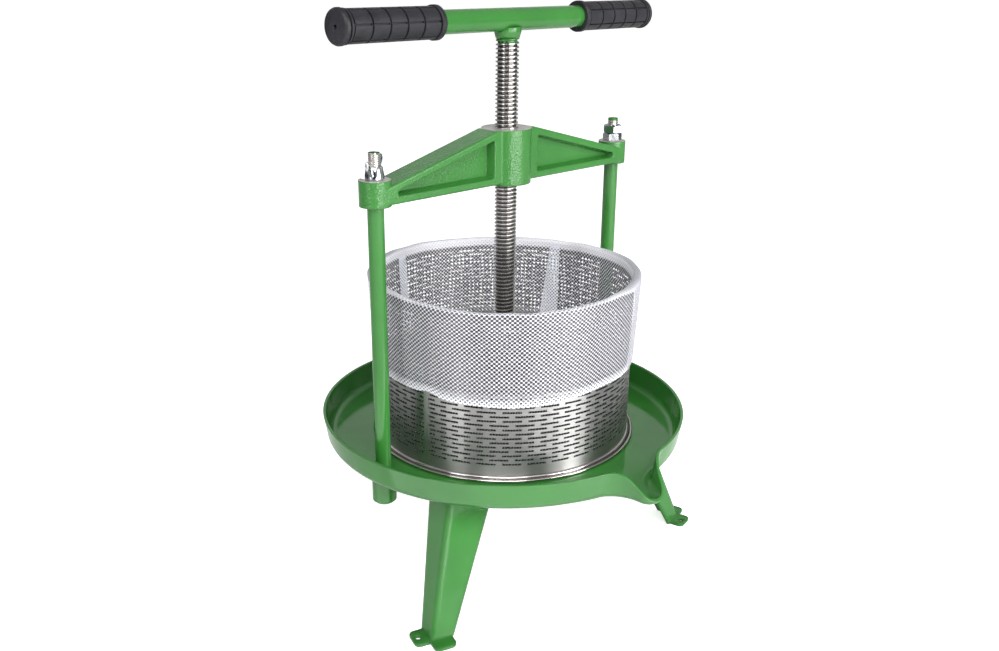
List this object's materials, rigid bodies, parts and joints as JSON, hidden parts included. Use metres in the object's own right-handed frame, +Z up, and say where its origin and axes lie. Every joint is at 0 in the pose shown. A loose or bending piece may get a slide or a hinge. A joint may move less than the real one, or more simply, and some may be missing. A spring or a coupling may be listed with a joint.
{
  "type": "fruit press",
  "caption": "Tabletop fruit press: a hand screw in a crossbeam drives a plate down a slotted basket lined with a net bag, above a round tray with a pouring spout on bent-sheet legs.",
  "frame": {"origin": "on the bench under the press screw's axis", "axes": "+Z up along the screw, +X along the crossbeam towards the post with hex nuts, -Y towards the spout"},
  "size_m": [0.3746, 0.3882, 0.5062],
  "materials": {
    "green_paint": "gloss",
    "cast_paint": "gloss over a cast skin",
    "stainless": "bright",
    "screw_steel": "bright",
    "zinc": "zinc plated",
    "bronze": "turned",
    "grip_rubber": "matt",
    "net": "nylon net"
  },
  "bodies": {
    "frame": {"tray": "green_paint", "left_leg": "green_paint", "right_leg": "green_paint", "rear_leg": "green_paint", "left_post_socket": "green_paint", "right_post_socket": "green_paint", "left_post": "green_paint", "right_post": "green_paint", "crossbeam": "cast_paint", "post_nuts": "zinc", "basket_wall": "stainless", "basket_foot_ring": "stainless", "basket_seam_strip": "stainless", "filter_bag": "net"},
    "plate": {"press_plate": "stainless", "plate_hub": "stainless", "thrust_washer": "bronze", "keeper_screws": "zinc"},
    "screw": {"press_screw": "screw_steel", "handle_tube": "green_paint", "weld_bead": "green_paint", "left_grip": "grip_rubber", "right_grip": "grip_rubber"},
    "wing_nut": {"wing_nut": "zinc"}
  },
  "joints": [
    {"name": "plate_travel", "type": "slide", "parent": "frame", "child": "plate", "axis": [0, 0, 1], "range_m": [-0.068, 0.13]},
    {"name": "screw_turn", "type": "hinge", "parent": "plate", "child": "screw", "pos_m": [0, 0, 0.45], "axis": [0, 0, 1], "range_deg": [-6994, 13371]},
    {"name": "wing_nut_turn", "type": "hinge", "parent": "frame", "child": "wing_nut", "pos_m": [-0.1445, 0, 0.3765], "axis": [0, 0, 1], "continuous": true}
  ],
  "couplings": [
    {"joint": "plate_travel", "follows": "screw_turn", "m_per_rad": 0.00055704}
  ]
}
